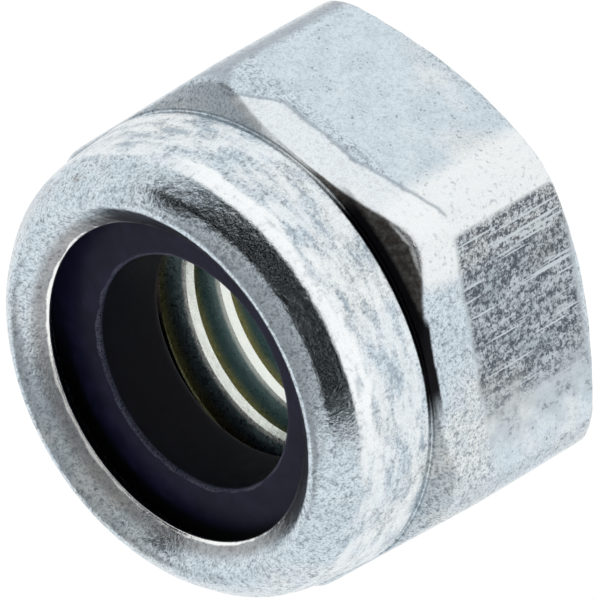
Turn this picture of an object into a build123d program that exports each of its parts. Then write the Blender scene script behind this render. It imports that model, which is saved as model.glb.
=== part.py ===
from build123d import *

import os
from math import cos, radians, tan

# Nylon insert lock nut, M12 coarse thread. All sizes are in millimetres.
# The nut stands on its bearing face. The origin is the middle of that face, and +Z runs along
# the thread axis to the nylon ring. The hexagon has corners on +X and -X, and flats on +Y and -Y.

# ---- Driving sizes: thread and hexagon ----
THREAD_DIAMETER = 12.0
THREAD_PITCH = 1.75
THREAD_FLANK_ANGLE = 60.0  # degrees, between the two flanks of a groove
COUNTERSINK_SLOPE = 45.0  # degrees, at both ends of the thread
BEARING_COUNTERSINK_MARGIN = 0.45  # radial, past the thread's grooves
SEAT_COUNTERSINK_MARGIN = 0.2
BEARING_FACE_DIAMETER = 17.0
BEARING_CHAMFER_SLOPE = 30.0  # degrees, up from the bearing face to the hexagon's corners
ACROSS_FLATS = 19.0
HEX_EDGE_RADIUS = 1.8  # rounding of the six upright edges
EASED_BAND_HEIGHT = 2.5  # top band of each flat, which leans in to meet the collar
SHOULDER_SLOPE = 32.0  # degrees, down and outwards from the collar's foot

# ---- Driving sizes: collar and its rolled lip ----
OVERALL_HEIGHT = 13.9
COLLAR_HEIGHT = 4.7  # from its foot on the shoulder up to the rim
COLLAR_FOOT_DIAMETER = 18.7
COLLAR_DRAFT = 5.0  # degrees, the collar narrows upwards
COLLAR_WALL = 1.25  # at the foot of the collar, outside the nylon ring
ROLL_HEIGHT = 2.15  # height over which the collar is rolled inwards
RIM_DIAMETER = 15.2  # middle of the narrow flat on top of the rolled lip
RIM_WIDTH = 0.5
RIM_EDGE_RADIUS = 0.4
LIP_OPENING_DIAMETER = 12.8
LIP_STAND_OFF = 0.85  # the lip's inner edge ends this far above the nylon ring
LIP_UNDERCUT_SLOPE = 50.0  # degrees, of the lip's underside, from its edge down to the ring

# ---- Driving sizes: nylon ring ----
NYLON_DEPTH = 1.75  # from the rim down to the ring
NYLON_THICKNESS = 3.3
NYLON_BORE_DIAMETER = 9.5
NYLON_EDGE_BREAK = 0.2
NYLON_SEAT_CLEARANCE = 0.02  # radial, to the wall of its seat

# ---- Derived sizes ----
MINOR_DIAMETER_FACTOR = 0.9  # of the pitch, less than the major diameter: near a 6H thread's largest
ROOT_FLAT_FACTOR = 1 / 8  # of the pitch, the flat at the bottom of an ISO thread's groove
GROOVE_MOUTH_CLEARANCE = 0.15  # the groove's cutter stands this far out of the bore's wall
HEX_FLAT_TO_CORNER = 1 / cos(radians(30))

thread_major_radius = THREAD_DIAMETER / 2
thread_minor_radius = (THREAD_DIAMETER - MINOR_DIAMETER_FACTOR * THREAD_PITCH) / 2
bearing_countersink_radius = thread_major_radius + BEARING_COUNTERSINK_MARGIN
bearing_face_radius = BEARING_FACE_DIAMETER / 2
flat_distance = ACROSS_FLATS / 2
corner_distance = flat_distance * HEX_FLAT_TO_CORNER
shoulder_height = OVERALL_HEIGHT - COLLAR_HEIGHT
collar_foot_radius = COLLAR_FOOT_DIAMETER / 2
seat_radius = collar_foot_radius - COLLAR_WALL
seat_countersink_radius = thread_major_radius + SEAT_COUNTERSINK_MARGIN
nylon_radius = seat_radius - NYLON_SEAT_CLEARANCE
nylon_top_height = OVERALL_HEIGHT - NYLON_DEPTH
seat_floor_height = nylon_top_height - NYLON_THICKNESS
rim_radius = RIM_DIAMETER / 2
lip_opening_radius = LIP_OPENING_DIAMETER / 2


def rise(run, slope):
    """Height gained over a horizontal run, at a slope in degrees."""
    return run * tan(radians(slope))


def run(height, slope):
    """Horizontal run over which a slope in degrees gains a height."""
    return height / tan(radians(slope))


def collar_radius(height):
    """Outer radius of the collar's side at a height above the bearing face."""
    return collar_foot_radius - rise(height - shoulder_height, COLLAR_DRAFT)


def turned_form():
    """The body as a lathe would leave it: all that is round about the axis."""
    bearing_countersink_depth = rise(bearing_countersink_radius - thread_minor_radius, COUNTERSINK_SLOPE)
    bearing_chamfer_height = rise(corner_distance - bearing_face_radius, BEARING_CHAMFER_SLOPE)
    shoulder_edge_height = shoulder_height - rise(corner_distance - collar_foot_radius, SHOULDER_SLOPE)
    roll_start_height = OVERALL_HEIGHT - ROLL_HEIGHT
    seat_countersink_depth = rise(seat_countersink_radius - thread_minor_radius, COUNTERSINK_SLOPE)

    collar_foot = (collar_foot_radius, shoulder_height)
    roll_start = (collar_radius(roll_start_height), roll_start_height)
    rim_outside = (rim_radius + RIM_WIDTH / 2, OVERALL_HEIGHT)
    rim_inside = (rim_radius - RIM_WIDTH / 2, OVERALL_HEIGHT)
    bore_bottom = (thread_minor_radius, bearing_countersink_depth)

    below_roll = Polyline(
        bore_bottom,
        (bearing_countersink_radius, 0),
        (bearing_face_radius, 0),
        (corner_distance, bearing_chamfer_height),
        (corner_distance, shoulder_edge_height),
        collar_foot,
        roll_start,
    )
    roll = TangentArc(roll_start, rim_outside, tangent=Vector(*roll_start) - Vector(*collar_foot))
    inside = Polyline(
        rim_outside,
        rim_inside,
        (lip_opening_radius, nylon_top_height + LIP_STAND_OFF),
        (lip_opening_radius + run(LIP_STAND_OFF, LIP_UNDERCUT_SLOPE), nylon_top_height),
        (seat_radius, nylon_top_height),
        (seat_radius, seat_floor_height),
        (seat_countersink_radius, seat_floor_height),
        (thread_minor_radius, seat_floor_height - seat_countersink_depth),
        bore_bottom,
    )
    section = make_face(below_roll.edges() + roll.edges() + inside.edges())
    rim_corners = [section.vertices().sort_by_distance(corner)[0] for corner in (rim_outside, rim_inside)]
    section = fillet(rim_corners, RIM_EDGE_RADIUS)
    return revolve(Plane.XZ * section, Axis.Z)


def rounded_hexagon(flat_to_axis, height):
    """Hexagon outline at a height, with corners on +X and -X and its upright edges rounded."""
    sharp = RegularPolygon(flat_to_axis, 6, major_radius=False)
    return Pos(0, 0, height) * fillet(sharp.vertices(), HEX_EDGE_RADIUS)


def hexagon_blank():
    """Hexagon over the whole height. The top band of its flats leans in to the collar's foot."""
    band_start = shoulder_height - EASED_BAND_HEIGHT
    flats = extrude(rounded_hexagon(flat_distance, 0), band_start)
    eased_band = loft([
        rounded_hexagon(flat_distance, band_start),
        rounded_hexagon(collar_foot_radius, shoulder_height),
    ])
    above_shoulder = extrude(rounded_hexagon(collar_foot_radius, shoulder_height), COLLAR_HEIGHT)
    return flats + eased_band + above_shoulder


def thread_groove():
    """Right hand helical groove that the thread is cut with. It runs out past both ends of the bore."""
    mouth_radius = thread_minor_radius - GROOVE_MOUTH_CLEARANCE
    half_root = THREAD_PITCH * ROOT_FLAT_FACTOR / 2
    half_mouth = half_root + rise(thread_major_radius - mouth_radius, THREAD_FLANK_ANGLE / 2)
    helix = Helix(THREAD_PITCH, seat_floor_height + THREAD_PITCH, mouth_radius, center=(0, 0, -THREAD_PITCH))
    depth = thread_major_radius - mouth_radius
    section = Polyline((0, -half_mouth), (depth, -half_root), (depth, half_root), (0, half_mouth), close=True)
    start = Plane(helix @ 0, x_dir=(1, 0, 0), z_dir=helix % 0)
    return sweep(start * make_face(section), path=helix, is_frenet=True)


def threaded_bar():
    """Bored bar that the thread is cut in, wider than the hexagon and longer than the nut."""
    length = 3 * OVERALL_HEIGHT
    return Cylinder(ACROSS_FLATS, length) - Cylinder(thread_minor_radius, length) - thread_groove()


def nut_body():
    """Steel body: hexagon, shoulder, collar with its rolled lip, seat of the ring and threaded bore."""
    return turned_form() & hexagon_blank() & threaded_bar()


def nylon_insert():
    """Locking ring, held between the floor of its seat and the rolled lip."""
    standing = (Align.CENTER, Align.CENTER, Align.MIN)
    ring = Cylinder(nylon_radius, NYLON_THICKNESS, align=standing)
    ring -= Cylinder(NYLON_BORE_DIAMETER / 2, NYLON_THICKNESS, align=standing)
    bore_edges = ring.edges().filter_by(GeomType.CIRCLE).group_by(SortBy.RADIUS)[0]
    return Pos(0, 0, seat_floor_height) * chamfer(bore_edges, NYLON_EDGE_BREAK)


os.makedirs("parts", exist_ok=True)
export_step(nut_body(), "parts/nut_body.step")
export_step(nylon_insert(), "parts/nylon_insert.step")
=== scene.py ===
from math import asin, atan2, cos, degrees, pi, radians, sin, tan

import bpy
from mathutils import Matrix, Vector


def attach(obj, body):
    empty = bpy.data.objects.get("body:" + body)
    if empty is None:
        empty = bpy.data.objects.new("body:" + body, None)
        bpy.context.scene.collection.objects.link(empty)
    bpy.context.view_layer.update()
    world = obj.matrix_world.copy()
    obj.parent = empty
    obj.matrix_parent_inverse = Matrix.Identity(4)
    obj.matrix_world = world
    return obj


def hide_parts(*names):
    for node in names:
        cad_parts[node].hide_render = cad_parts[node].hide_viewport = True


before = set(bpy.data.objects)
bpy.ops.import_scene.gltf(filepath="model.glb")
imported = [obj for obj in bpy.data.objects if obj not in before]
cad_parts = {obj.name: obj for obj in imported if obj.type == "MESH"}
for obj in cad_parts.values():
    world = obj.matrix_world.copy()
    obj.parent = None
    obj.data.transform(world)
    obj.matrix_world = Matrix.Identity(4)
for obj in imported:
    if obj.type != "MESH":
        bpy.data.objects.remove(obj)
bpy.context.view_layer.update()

# A nylon insert lock nut, M12 coarse. It stands on its bearing face, +Z runs along the thread to
# the nylon ring, and the hexagon has corners on +X and -X. Sizes are in metres.

MM = 0.001

# ---- Steel body ----
HEX_FLAT = 9.5 * MM  # from the axis to a flat
HEX_CORNER = HEX_FLAT / cos(radians(30))
HEX_EDGE_RADIUS = 1.8 * MM
BEARING_RADIUS = 8.5 * MM
BEARING_CHAMFER = 30.0
COUNTERSINK_RADIUS = 6.45 * MM
SHOULDER_HEIGHT = 9.2 * MM
SHOULDER_SLOPE = 32.0
COLLAR_FOOT_RADIUS = 9.35 * MM
COLLAR_SIDE_TOP = (9.12 * MM, 11.9 * MM)  # radius and height where the roll begins
ROLL_LOWER = (8.94 * MM, 12.57 * MM)
ROLL_UPPER = (8.3 * MM, 13.45 * MM)
RIM_OUTER_RADIUS = 7.78 * MM
RIM_RADIUS = 7.6 * MM
RIM_INNER_RADIUS = RIM_RADIUS - 0.15 * MM
RIM_HEIGHT = 13.9 * MM
LIP_RADIUS = 6.4 * MM
LIP_HEIGHT = 13.0 * MM
LIP_UNDERSIDE_RADIUS = 7.1 * MM
THREAD_RADIUS = 6.0 * MM
THREAD_PITCH = 1.75 * MM
BORE_RADIUS = 5.053 * MM  # the nominal crest of an M12 thread, a little inside the CAD part's

# ---- Nylon ring ----
SEAT_RADIUS = 8.1 * MM
SEAT_FLOOR = 8.85 * MM
NYLON_TOP = 12.15 * MM
NYLON_RADIUS = 8.08 * MM
NYLON_BORE = 4.75 * MM
SEAT_CLEARANCE = 0.02 * MM

# ---- Meshes: long runs of an outline are divided to this, and turned in so many steps ----
OUTLINE_STEP = 0.4 * MM
BODY_STEPS = 180
RING_STEPS = 128
THREAD_STEPS = 96
WELD = 1e-6  # points closer than this become one
SHARP_ANGLE = radians(35)


def only(piece):
    """Makes a piece the only one that is selected, and the active one."""
    bpy.ops.object.select_all(action="DESELECT")
    piece.select_set(True)
    bpy.context.view_layer.objects.active = piece


def edit(piece, select="DESELECT"):
    """Opens a piece in edit mode with nothing, or everything, selected."""
    only(piece)
    bpy.ops.object.mode_set(mode="EDIT")
    bpy.ops.mesh.select_all(action=select)


def done():
    bpy.ops.object.mode_set(mode="OBJECT")


def apply(piece, kind, **settings):
    """Adds a modifier with its settings and applies it."""
    only(piece)
    modifier = piece.modifiers.new(kind, kind)
    for name, value in settings.items():
        setattr(modifier, name, value)
    bpy.ops.object.modifier_apply(modifier=modifier.name)


def rounded(corners, step):
    """Points along a closed outline. A corner is (radius, height, rounding); a long run is divided."""
    spots = [Vector((r, 0, z)) for r, z, _ in corners]
    points = []
    for i, (here, (_, _, rounding)) in enumerate(zip(spots, corners)):
        before = (spots[i - 1] - here).normalized()
        after = (spots[(i + 1) % len(spots)] - here).normalized()
        if not rounding:
            points.append(here)
            continue
        half = before.angle(after) / 2
        reach = rounding / tan(half)
        middle = here + (before + after).normalized() * rounding / sin(half)
        start, end = here + before * reach - middle, here + after * reach - middle
        turns = max(2, round(start.angle(end) / radians(18)))
        points += [middle + start.slerp(end, k / turns).normalized() * rounding for k in range(turns + 1)]
    outline = []
    for here, there in zip(points, points[1:] + points[:1]):
        parts = max(1, round((there - here).length / step))
        outline += [here.lerp(there, k / parts) for k in range(parts)]
    return outline


def turned(name, corners, step, steps):
    """A ring turned from a closed outline of (radius, height, rounding)."""
    outline = rounded(corners, step)
    mesh = bpy.data.meshes.new(name)
    mesh.from_pydata(outline, [(i, (i + 1) % len(outline)) for i in range(len(outline))], [])
    piece = bpy.data.objects.new(name, mesh)
    bpy.context.collection.objects.link(piece)
    edit(piece, "SELECT")
    bpy.ops.mesh.spin(steps=steps, angle=2 * pi, center=(0, 0, 0), axis=(0, 0, 1))
    bpy.ops.mesh.select_all(action="SELECT")
    bpy.ops.mesh.remove_doubles(threshold=WELD)
    bpy.ops.mesh.normals_make_consistent(inside=False)
    done()
    return piece


def hexagon_die():
    """The die that presses the six flats: its top leans in, so that the flats ease into the shoulder."""
    bpy.ops.mesh.primitive_cylinder_add(vertices=6, radius=HEX_CORNER, depth=7.7 * MM, end_fill_type="NGON",
                                        location=(0, 0, 2.85 * MM))
    bpy.ops.object.transform_apply()
    die = bpy.context.object
    edit(die, "SELECT")
    bpy.ops.transform.rotate(value=radians(30), orient_axis="Z", center_override=(0, 0, 0))
    bpy.ops.mesh.select_all(action="DESELECT")
    bpy.ops.mesh.select_mode(type="FACE")
    done()
    top = max(die.data.polygons, key=lambda face: face.center.z)
    top.select = True
    bpy.ops.object.mode_set(mode="EDIT")
    for climb, lean in ((0.8, 0.02), (0.7, 0.03), (0.6, 0.04), (0.4, 0.06), (5, 0)):
        bpy.ops.mesh.extrude_region_move(TRANSFORM_OT_translate={"value": (0, 0, climb * MM)})
        narrower = 1 - lean * MM / HEX_FLAT
        bpy.ops.transform.resize(value=(narrower, narrower, 1), center_override=(0, 0, 0))
    bpy.ops.mesh.select_mode(type="EDGE")
    bpy.ops.mesh.select_all(action="DESELECT")
    done()
    corners = [v.co for v in die.data.vertices]
    for edge in die.data.edges:
        a, b = (corners[i] for i in edge.vertices)
        edge.select = abs(atan2(a.y, a.x) - atan2(b.y, b.x)) < 1e-3 and abs(a.z - b.z) > 0.1 * MM
    bpy.ops.object.mode_set(mode="EDIT")
    bpy.ops.mesh.bevel(offset=HEX_EDGE_RADIUS * tan(radians(30)), segments=12, affect="EDGES")
    done()
    return die


def thread_tap():
    """A tap with the thread's full form, longer than the body at both ends."""
    crest_flat, flank_foot = THREAD_PITCH / 8, 4.9 * MM
    half_foot = crest_flat / 2 + (THREAD_RADIUS - flank_foot) * tan(radians(30))
    middle = THREAD_PITCH / 2
    outline = [(flank_foot, 0), (flank_foot, middle - half_foot), (THREAD_RADIUS, middle - crest_flat / 2),
               (THREAD_RADIUS, middle + crest_flat / 2), (flank_foot, middle + half_foot),
               (flank_foot, THREAD_PITCH)]
    mesh = bpy.data.meshes.new("tap")
    start = -2.5 * THREAD_PITCH  # which sets the grooves where the CAD part has them
    mesh.from_pydata([(r, 0, z + start) for r, z in outline], [(i, i + 1) for i in range(len(outline) - 1)], [])
    tap = bpy.data.objects.new("tap", mesh)
    bpy.context.collection.objects.link(tap)
    apply(tap, "SCREW", axis="Z", angle=2 * pi, screw_offset=THREAD_PITCH, iterations=8,
          steps=THREAD_STEPS, render_steps=THREAD_STEPS)
    edit(tap, "SELECT")
    bpy.ops.mesh.remove_doubles(threshold=WELD)
    done()
    for end in (start - THREAD_PITCH, start + 9 * THREAD_PITCH):
        edit(tap)
        bpy.ops.mesh.select_mode(type="EDGE")
        bpy.ops.mesh.select_non_manifold(extend=False)
        done()
        for edge in tap.data.edges:
            if edge.select and abs(tap.data.vertices[edge.vertices[0]].co.z - end) > 4 * THREAD_PITCH:
                edge.select = False
        bpy.ops.object.mode_set(mode="EDIT")
        bpy.ops.mesh.extrude_region_move(TRANSFORM_OT_translate={"value": (0, 0, 0)})
        bpy.ops.transform.resize(value=(1, 1, 0), center_override=(0, 0, end))
        bpy.ops.mesh.edge_face_add()
        done()
    edit(tap, "SELECT")
    # On this shape the plain setting turns the faces inwards, and "inside" turns them outwards.
    bpy.ops.mesh.normals_make_consistent(inside=True)
    done()
    return tap


def soften(piece, belongs, turns):
    """Smooths the points that belong, so that their edges wear round."""
    edit(piece)
    bpy.ops.mesh.select_mode(type="VERT")
    done()
    for vertex in piece.data.vertices:
        vertex.select = belongs(vertex.co)
    bpy.ops.object.mode_set(mode="EDIT")
    bpy.ops.mesh.vertices_smooth(factor=0.5, repeat=turns)
    done()


def nut_body():
    chamfer_top = (HEX_CORNER - BEARING_RADIUS) * tan(radians(BEARING_CHAMFER))
    shoulder_edge = SHOULDER_HEIGHT - (HEX_CORNER - COLLAR_FOOT_RADIUS) * tan(radians(SHOULDER_SLOPE))
    body = turned("lock_nut_body", [
        (BORE_RADIUS, COUNTERSINK_RADIUS - BORE_RADIUS, 0),
        (COUNTERSINK_RADIUS, 0, 0.12 * MM),
        (BEARING_RADIUS, 0, 0.35 * MM),
        (HEX_CORNER, chamfer_top, 0.8 * MM),
        (HEX_CORNER - 0.15 * MM, shoulder_edge + 0.09 * MM, 0.9 * MM),
        (COLLAR_FOOT_RADIUS + 0.08 * MM, SHOULDER_HEIGHT - 0.05 * MM, 0.05 * MM),
        (COLLAR_FOOT_RADIUS - 0.08 * MM, SHOULDER_HEIGHT - 0.06 * MM, 0.06 * MM),
        (COLLAR_FOOT_RADIUS, SHOULDER_HEIGHT + 0.2 * MM, 0.12 * MM),
        (*COLLAR_SIDE_TOP, 3 * MM),
        (*ROLL_LOWER, 1 * MM),
        (*ROLL_UPPER, 1.2 * MM),
        (RIM_OUTER_RADIUS, RIM_HEIGHT, 0.35 * MM),
        (RIM_INNER_RADIUS, RIM_HEIGHT, 0.45 * MM),
        (LIP_RADIUS, LIP_HEIGHT, 0.1 * MM),
        (LIP_UNDERSIDE_RADIUS, NYLON_TOP + SEAT_CLEARANCE, 0.1 * MM),
        (SEAT_RADIUS, NYLON_TOP + SEAT_CLEARANCE, 0),
        (SEAT_RADIUS, SEAT_FLOOR, 0),
        (THREAD_RADIUS, SEAT_FLOOR, 0),
        (BORE_RADIUS, SEAT_FLOOR - (THREAD_RADIUS - BORE_RADIUS), 0),
    ], OUTLINE_STEP, BODY_STEPS)
    die = hexagon_die()
    apply(body, "SHRINKWRAP", target=die, wrap_method="NEAREST_SURFACEPOINT", wrap_mode="INSIDE")
    bpy.data.objects.remove(die)
    apply(body, "SUBSURF", levels=1, render_levels=1)
    collar_clear = COLLAR_FOOT_RADIUS + 0.07 * MM
    soften(body, lambda spot: collar_clear < spot.xy.length and 7.9 * MM < spot.z < SHOULDER_HEIGHT, 10)
    tap = thread_tap()
    apply(body, "BOOLEAN", object=tap, operation="DIFFERENCE", solver="MANIFOLD")
    bpy.data.objects.remove(tap)
    body.data.materials.clear()
    edit(body, "SELECT")
    bpy.ops.mesh.remove_doubles(threshold=WELD)
    bpy.ops.mesh.quads_convert_to_tris(quad_method="BEAUTY", ngon_method="BEAUTY")
    done()
    only(body)
    bpy.ops.object.shade_smooth_by_angle(angle=SHARP_ANGLE)
    return body


def nylon_ring():
    ring = turned("locking_ring", [
        (NYLON_BORE, SEAT_FLOOR, 0.2 * MM),
        (NYLON_RADIUS, SEAT_FLOOR, 0.1 * MM),
        (NYLON_RADIUS, NYLON_TOP, 0.1 * MM),
        (NYLON_BORE, NYLON_TOP, 0.15 * MM),
    ], OUTLINE_STEP, RING_STEPS)
    apply(ring, "SUBSURF", levels=1, render_levels=1)
    only(ring)
    bpy.ops.object.shade_smooth_by_angle(angle=SHARP_ANGLE)
    return ring


# ---- Camera: it looks at the nut's +X corner from above, turned so that the axis points down and left ----
RENDER_HEIGHT = 600  # pixels
PIXELS_ACROSS_FLATS = 508.0  # that a length equal to the width across flats takes in the render
SLOPE_COS, SLOPE_SIN = 0.62493, 0.78068  # of the angle between the thread's axis and the line of sight
RIGHT_HAND = (0.864, 0.503)  # the render's right, as shares of down the slope and sideways
EYE_DISTANCE = 22  # this and the aim are in widths across flats
AIM_SIDEWAYS, AIM_DOWN, AIM_BACK = -0.0203973, -0.24906, 0.35


def camera():
    across = 2 * HEX_FLAT
    turn = Vector(RIGHT_HAND).normalized()
    back = Vector((SLOPE_SIN, 0, SLOPE_COS))
    down_axis = Vector((SLOPE_COS, 0, -SLOPE_SIN))
    sideways = Vector((0, -1, 0))
    right = turn.x * down_axis + turn.y * sideways
    up = turn.y * down_axis - turn.x * sideways
    aim = across * (AIM_SIDEWAYS * sideways + AIM_DOWN * down_axis + AIM_BACK * SLOPE_COS * back)
    distance = EYE_DISTANCE * across
    data = bpy.data.cameras.new("camera")
    data.sensor_width = 36
    data.lens = data.sensor_width * distance / (RENDER_HEIGHT / PIXELS_ACROSS_FLATS * across)
    data.clip_start = 0.01
    eye = bpy.data.objects.new("camera", data)
    eye.matrix_world = Matrix.Translation(aim + back * distance) @ Matrix((right, up, back)).transposed().to_4x4()
    bpy.context.collection.objects.link(eye)
    bpy.context.scene.camera = eye


body = nut_body()
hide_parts("nut_body")
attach(body, "root")
ring = nylon_ring()
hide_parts("nylon_insert")
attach(ring, "root")


class Shade:
    """A value, colour or vector in a node tree. Arithmetic on it adds the Math nodes."""

    def __init__(self, tree, socket=None):
        self.tree = tree
        self.socket = socket

    def node(self, kind, settings={}, inputs={}, output=0):
        """Adds a node: its settings first, then the values or links of its sockets."""
        node = self.tree.nodes.new(kind)
        for name, value in settings.items():
            setattr(node, name, value)
        for name, value in inputs.items():
            if isinstance(value, Shade):
                self.tree.links.new(value.socket, node.inputs[name])
            else:
                node.inputs[name].default_value = value
        return Shade(self.tree, node.outputs[output])

    def math(self, operation, *values):
        return self.node("ShaderNodeMath", {"operation": operation}, dict(enumerate(values)))

    def __add__(self, other):
        return self.math("ADD", self, other)

    __radd__ = __add__

    def __sub__(self, other):
        return self.math("SUBTRACT", self, other)

    def __rsub__(self, other):
        return self.math("SUBTRACT", other, self)

    def __mul__(self, other):
        return self.math("MULTIPLY", self, other)

    __rmul__ = __mul__

    def __abs__(self):
        return self.math("ABSOLUTE", self)

    def most(self, other):
        return self.math("MAXIMUM", self, other)

    def fade(self, start, end):
        """0 at start, 1 at end and smooth between. It falls where end is the smaller."""
        low, high, first, last = (start, end, 0, 1) if start < end else (end, start, 1, 0)
        return self.node("ShaderNodeMapRange", {"interpolation_type": "SMOOTHSTEP"},
                         {"Value": self, "From Min": low, "From Max": high, "To Min": first, "To Max": last})

    def mix(self, under, over):
        """The colour under where this is 0, and over where it is 1."""
        return self.node("ShaderNodeMix", {"data_type": "RGBA"}, {0: self, 6: under, 7: over}, 2)


def finish(name, roughness, metallic, **fixed):
    """A new material, its Principled shader and the surface's own place in millimetres."""
    material = bpy.data.materials.new(name)
    material.use_nodes = True
    tree = material.node_tree
    shader = tree.nodes["Principled BSDF"]
    shader.inputs["Metallic"].default_value = metallic
    shader.inputs["Roughness"].default_value = roughness
    for socket, value in fixed.items():
        shader.inputs[socket.replace("_", " ")].default_value = value
    place = Shade(tree).node("ShaderNodeTexCoord", output="Object")
    place = place.node("ShaderNodeVectorMath", {"operation": "SCALE"}, {0: place, "Scale": 1 / MM})
    return material, shader, place


def connect(value, shader, socket):
    value.tree.links.new(value.socket, shader.inputs[socket])


def coordinates(place):
    """The three coordinates of a place and its distance from the thread's axis, in millimetres."""
    parts = place.tree.nodes.new("ShaderNodeSeparateXYZ")
    place.tree.links.new(place.socket, parts.inputs[0])
    x, y, z = (Shade(place.tree, socket) for socket in parts.outputs)
    return x, y, z, (x * x + y * y).math("SQRT", x * x + y * y)


def grain(place, per_mm, detail=4, stretch=(1, 1, 1), sharp=0.5):
    """Cloudy noise, 0 to 1, with so many cells to the millimetre. A stretch below 1 draws it out."""
    pulled = place.node("ShaderNodeMapping", {"vector_type": "POINT"}, {"Vector": place, "Scale": stretch})
    return place.node("ShaderNodeTexNoise", {}, {"Vector": pulled, "Scale": per_mm, "Detail": detail,
                                                 "Roughness": sharp})


def zinc_plated_steel():
    material, shader, place = finish("zinc_plated_steel", 0.25, 1)
    x, y, z, radius = coordinates(place)
    across_b = x * cos(radians(30)) + y * 0.5  # distance out along the normal of the flat on the +Y side
    across_c = x * cos(radians(30)) - y * 0.5
    along_c = x * 0.5 + y * cos(radians(30))  # along the flat on the -Y side, positive to the +X corner
    out = abs(y).most(abs(across_b)).most(abs(across_c))  # distance out along the nearest flat

    cloud = grain(place, 0.25, 2)
    blotch = grain(place, 1.1, 3)
    speck = grain(place, 4.5, 5, sharp=0.65)
    fine = grain(place, 11, 3, sharp=0.6)
    drawn = grain(place, 4.0, 3, stretch=(1, 1, 0.15))
    streak = grain(place, 2.2, 5, stretch=(0.3, 0.3, 1))

    # Flats: pressed faces. The slate spangle is dense on the -Y flat and fades to its lower corner; there its
    # dark is partly spangle and partly painted shade.
    on_flat = out.fade(9.40, 9.47) * (z + blotch * 0.5).fade(7.2, 6.8) * z.fade(0.7, 1.2)
    dense_and_shaded = across_c.fade(9.0, 9.3) * (along_c + blotch * 3.5).fade(-2.6, 0.6)

    # Plating: cool, with warmer clouds, and a sandy grain of darker specks that is thin on the flats.
    plating = cloud.fade(0.45, 0.7).mix((0.68, 0.77, 0.83, 1), (0.80, 0.83, 0.83, 1))
    plating = (blotch.fade(0.42, 0.65) * 0.4).mix(plating, (0.56, 0.65, 0.72, 1))
    sandy = 1 - on_flat * 0.6
    sand = sandy * (speck.fade(0.46, 0.68) * 0.6 + fine.fade(0.46, 0.62) * 0.5)
    plating = sand.mix(plating, (0.22, 0.26, 0.30, 1))

    # Collar: streaks run round its side, and a painted highlight band lies under the roll.
    side = radius.fade(8.80, 8.95) * z.fade(9.3, 9.5)
    colour = (side * streak.fade(0.42, 0.60) * 0.6).mix(plating, (0.92, 0.95, 0.96, 1))
    colour = (side * streak.fade(0.42, 0.30) * 0.7).mix(colour, (0.32, 0.39, 0.46, 1))
    highlight_band = side * (z + streak * 1.6).fade(12.4, 13.0) * z.fade(12.75, 12.5)
    highlight_band = highlight_band * y.fade(-7.5, -3.5) * y.fade(8.5, 5.5)
    colour = (highlight_band * (1 - speck.fade(0.5, 0.65) * 0.4)).mix(colour, (0.93, 0.96, 0.97, 1))
    # Painted shade along the collar's outer edge on the -X side.
    collar_edge_shade = radius.fade(8.0, 8.9) * z.fade(11.0, 12.0) * (x * 0.8 - y * 0.3).fade(-2.5, -6.0)
    colour = (collar_edge_shade * 0.85).mix(colour, (0.36, 0.41, 0.46, 1))

    # Upright edges: darker than the flats, all but the one at +X, which carries a painted highlight.
    corner = out.fade(9.45, 9.30) * radius.fade(10.0, 10.3) * z.fade(8.6, 8.2) * x.fade(9.2, 8.0)
    corner = corner * (0.25 + y.fade(0, 4) * 0.75)
    colour = (corner * 0.75).mix(colour, (0.33, 0.37, 0.42, 1))
    corner_highlight = radius.fade(9.9, 10.2) * x.fade(8.6, 9.6) * z.fade(8.9, 8.6)
    colour = (corner_highlight * (1 - speck.fade(0.55, 0.65) * 0.5) * 0.8).mix(colour, (0.90, 0.92, 0.92, 1))

    # Each flat has an eased top; a painted highlight lies on the one of the +Y flat, with a darker line where it
    # begins.
    along_b = y * cos(radians(30)) - x * 0.5
    begins = 7.4 - (-1.2 - along_b).most(0) * 0.22 + (along_b - 2.5).most(0) * 0.86 + blotch * 0.3 - 0.15
    eased_highlight = across_b.fade(9.0, 9.3) * (z - begins).fade(0, 0.25) * z.fade(9.4, 9.2)
    colour = (eased_highlight * 0.6).mix(colour, (0.90, 0.93, 0.94, 1))
    crease = across_b.fade(9.3, 9.4) * abs(z - begins).fade(0.16, 0.02)
    colour = (crease * 0.7).mix(colour, (0.35, 0.40, 0.45, 1))

    # Spangle, partly painted shade on the -Y flat, and scratches along the axis.
    spangle = (speck * 0.6 + fine * 0.45 + drawn * 0.2).fade(0.73, 0.54)
    clusters = speck.fade(0.43, 0.36) * blotch.fade(0.50, 0.60) * 0.5
    spangle_and_shade = on_flat * dense_and_shaded * (0.24 + spangle * 0.72) + on_flat * (1 - dense_and_shaded) * clusters
    colour = (on_flat * dense_and_shaded * blotch.fade(0.4, 0.6) * 0.6).mix(colour, (0.80, 0.87, 0.92, 1))
    colour = spangle_and_shade.mix(colour, (0.07, 0.083, 0.105, 1))
    scratch = grain(place, 7, 2, stretch=(1, 1, 0.03))
    colour = (on_flat * dense_and_shaded * scratch.fade(0.60, 0.66)).mix(colour, (0.60, 0.66, 0.70, 1))

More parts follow.
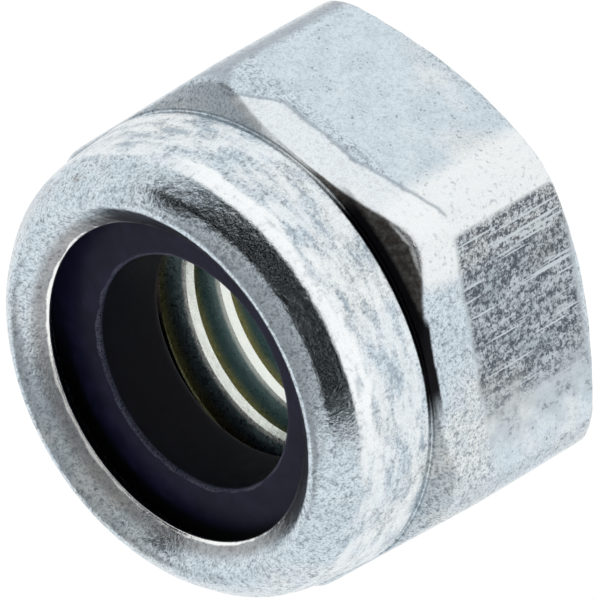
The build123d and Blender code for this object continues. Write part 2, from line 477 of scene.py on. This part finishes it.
    # Shoulder: dark brown-grey in the corners, most of all at +X, partly scale and partly painted shade, and a
    # painted black shadow in the foot of the collar.
    over_cone = z + (radius - COLLAR_FOOT_RADIUS / MM) * tan(radians(SHOULDER_SLOPE)) - SHOULDER_HEIGHT / MM
    shoulder = over_cone.fade(-0.2, -0.1) * radius.fade(9.30, 9.40) * z.fade(9.45, 9.25)
    shoulder = shoulder * (radius + out * 0.5 + speck * 0.3).fade(15.04, 14.90)
    scale_shade_by_side = y.fade(-7.5, -3.5) * (1 - y.fade(3.5, 6.0) * (0.65 + speck.fade(0.4, 0.6) * 0.35))
    colour = (shoulder * scale_shade_by_side * (0.7 + speck * 0.5)).mix(colour, (0.062, 0.055, 0.048, 1))
    foot_shadow = radius.fade(9.78, 9.60) * (z + blotch * 0.2).fade(8.76, 8.88) * z.fade(9.42, 9.32)
    foot_shadow = foot_shadow * y.fade(-6.5, -5.0) * y.fade(3.5, 2.0) * x.fade(4, 6)
    colour = foot_shadow.mix(colour, (0.008, 0.008, 0.010, 1))

    # Lip: painted shade under it, and bright where it turns in over the nylon ring, partly wear and partly
    # painted highlight.
    under_lip_shade = radius.fade(7.15, 6.7) * z.fade(12.8, 12.9)
    colour = (under_lip_shade * 0.6).mix(colour, (0.20, 0.18, 0.17, 1))
    lip_wear_and_highlight = (radius + blotch * 0.2).fade(6.66, 6.60) * z.fade(12.9, 13.0)
    colour = lip_wear_and_highlight.mix(colour, (0.95, 0.96, 0.95, 1))

    # Roll: dark ragged marks left on its +Y side.
    ragged = (speck * 0.6 + streak * 0.5).fade(0.48, 0.42)
    marks = z.fade(12.6, 12.9) * z.fade(13.6, 13.3) * y.fade(4.0, 6.0) * ragged
    colour = (marks * 0.7).mix(colour, (0.10, 0.08, 0.07, 1))

    # Thread: cut steel, darker than the plating and a little olive, with a painted highlight on the crests and a
    # painted black shadow under the nylon ring.
    # Radius and height add up to the countersink's radius on its cone, so it keeps its plating.
    past_countersink = (radius + z).fade(COUNTERSINK_RADIUS / MM + 0.05, COUNTERSINK_RADIUS / MM + 0.25)
    inside = radius.fade(6.9, 6.5) * past_countersink
    crest_highlight = radius.fade(5.25, 5.12)
    flank = radius.fade(5.6, 5.95).mix((0.20, 0.28, 0.29, 1), (0.50, 0.48, 0.30, 1))
    colour = (inside * z.fade(8.9, 8.6)).mix(colour, crest_highlight.mix(flank, (0.88, 0.92, 0.86, 1)))
    colour = (inside * z.fade(7.6, 8.2) * z.fade(9.2, 9.0)).mix(colour, (0.04, 0.033, 0.028, 1))
    connect(colour, shader, "Base Color")

    rolled = z.fade(12.4, 12.7)
    rough = 0.2 + speck * 0.16 + spangle_and_shade * 0.2 + shoulder * 0.3 - rolled * 0.11
    connect(rough, shader, "Roughness")
    height = speck * 0.5 + fine * 0.3 + blotch * 1.5 - spangle_and_shade * 0.4 + scratch * on_flat * 0.5 + streak * side
    bump = place.node("ShaderNodeBump", {}, {"Strength": 0.45, "Distance": 0.00005, "Height": height})
    connect(bump, shader, "Normal")
    return material


def navy_nylon():
    material, shader, place = finish("navy_nylon", 0.42, 0, Specular_IOR_Level=0.14)
    cloud = grain(place, 1.2, 4)
    fine = grain(place, 14, 3)
    colour = cloud.fade(0.35, 0.7).mix((0.006, 0.007, 0.026, 1), (0.013, 0.013, 0.044, 1))
    x, y, z, radius = coordinates(place)
    # Painted shadow of the lip on the outer edge of the ring, on the -X, -Y side.
    lip_shadow = radius.fade(6.1, 6.6) * (x * 0.8 + y * 0.58).fade(-0.5, -4)
    colour = lip_shadow.mix(colour, (0.001, 0.001, 0.002, 1))
    # Painted shade inside the bore, below its top edge.
    colour = (radius.fade(4.85, 4.78) * z.fade(12.0, 11.8) * 0.8).mix(colour, (0.001, 0.001, 0.003, 1))
    edge = (radius + cloud * 0.3).fade(5.04, 4.96) * z.fade(11.9, 12.0) * fine.fade(0.3, 0.6)
    colour = edge.mix(colour, (0.10, 0.11, 0.16, 1))
    connect(colour, shader, "Base Color")
    connect(0.36 + fine * 0.2, shader, "Roughness")
    height = cloud * 2 + fine * 0.4
    bump = place.node("ShaderNodeBump", {}, {"Strength": 0.3, "Distance": 0.00003, "Height": height})
    connect(bump, shader, "Normal")
    return material


def white_floor():
    """The floor is plain white for the camera and in reflections, and it keeps a soft shadow."""
    bpy.ops.mesh.primitive_circle_add(vertices=96, radius=1.5, fill_type="NGON")
    floor = bpy.context.object
    floor.name = "floor"
    material, shader, place = finish("white_floor", 1, 0, Specular_IOR_Level=0, Base_Color=(0.9, 0.9, 0.9, 1))
    tree = material.node_tree
    path = tree.nodes.new("ShaderNodeLightPath")
    camera_ray, glossy_ray, through_ray = (Shade(tree, path.outputs[name]) for name in (
        "Is Camera Ray", "Is Glossy Ray", "Is Transmission Ray"))
    glow = place.node("ShaderNodeEmission", {}, {"Strength": 1.06})
    seen = camera_ray.most(glossy_ray).most(through_ray) * 0.94
    lit = Shade(tree, shader.outputs[0])
    surface = place.node("ShaderNodeMixShader", {}, {0: seen, 1: lit, 2: glow})
    tree.links.new(surface.socket, tree.nodes["Material Output"].inputs["Surface"])
    floor.data.materials.append(material)


def as_card(panel, name, shade):
    """Paints a studio card a plain matt shade. The camera doesn't see it, and the nut reflects it."""
    panel.name = name
    material, shader, place = finish(name, 1, 0, Specular_IOR_Level=0, Base_Color=(shade, shade, shade, 1))
    panel.data.materials.append(material)
    panel.visible_camera = False


def curved_card(name, shade, azimuths, elevations, distance=0.7):
    """A card round the nut, cut from a ball between two azimuths and two elevations in degrees."""
    bpy.ops.mesh.primitive_uv_sphere_add(segments=72, ring_count=36, radius=distance)
    panel = bpy.context.object
    edit(panel)
    bpy.ops.mesh.select_mode(type="FACE")
    done()
    for face in panel.data.polygons:
        middle = face.center.normalized()
        azimuth = degrees(atan2(middle.y, middle.x))
        elevation = degrees(asin(middle.z))
        face.select = not (azimuths[0] < azimuth < azimuths[1] and elevations[0] < elevation < elevations[1])
    bpy.ops.object.mode_set(mode="EDIT")
    bpy.ops.mesh.delete(type="FACE")
    done()
    as_card(panel, name, shade)


body.data.materials.append(zinc_plated_steel())
ring.data.materials.append(navy_nylon())

camera()
white_floor()
curved_card("dark_wall", 0.005, (-58, 100), (18, 43))
curved_card("ceiling", 0.7, (-181, 181), (48, 91))

world = bpy.data.worlds.new("studio")
bpy.context.scene.world = world
world.use_nodes = True
world.node_tree.nodes["Background"].inputs["Color"].default_value = (1, 1, 1, 1)
world.node_tree.nodes["Background"].inputs["Strength"].default_value = 1
bpy.context.scene.view_settings.view_transform = "Standard"
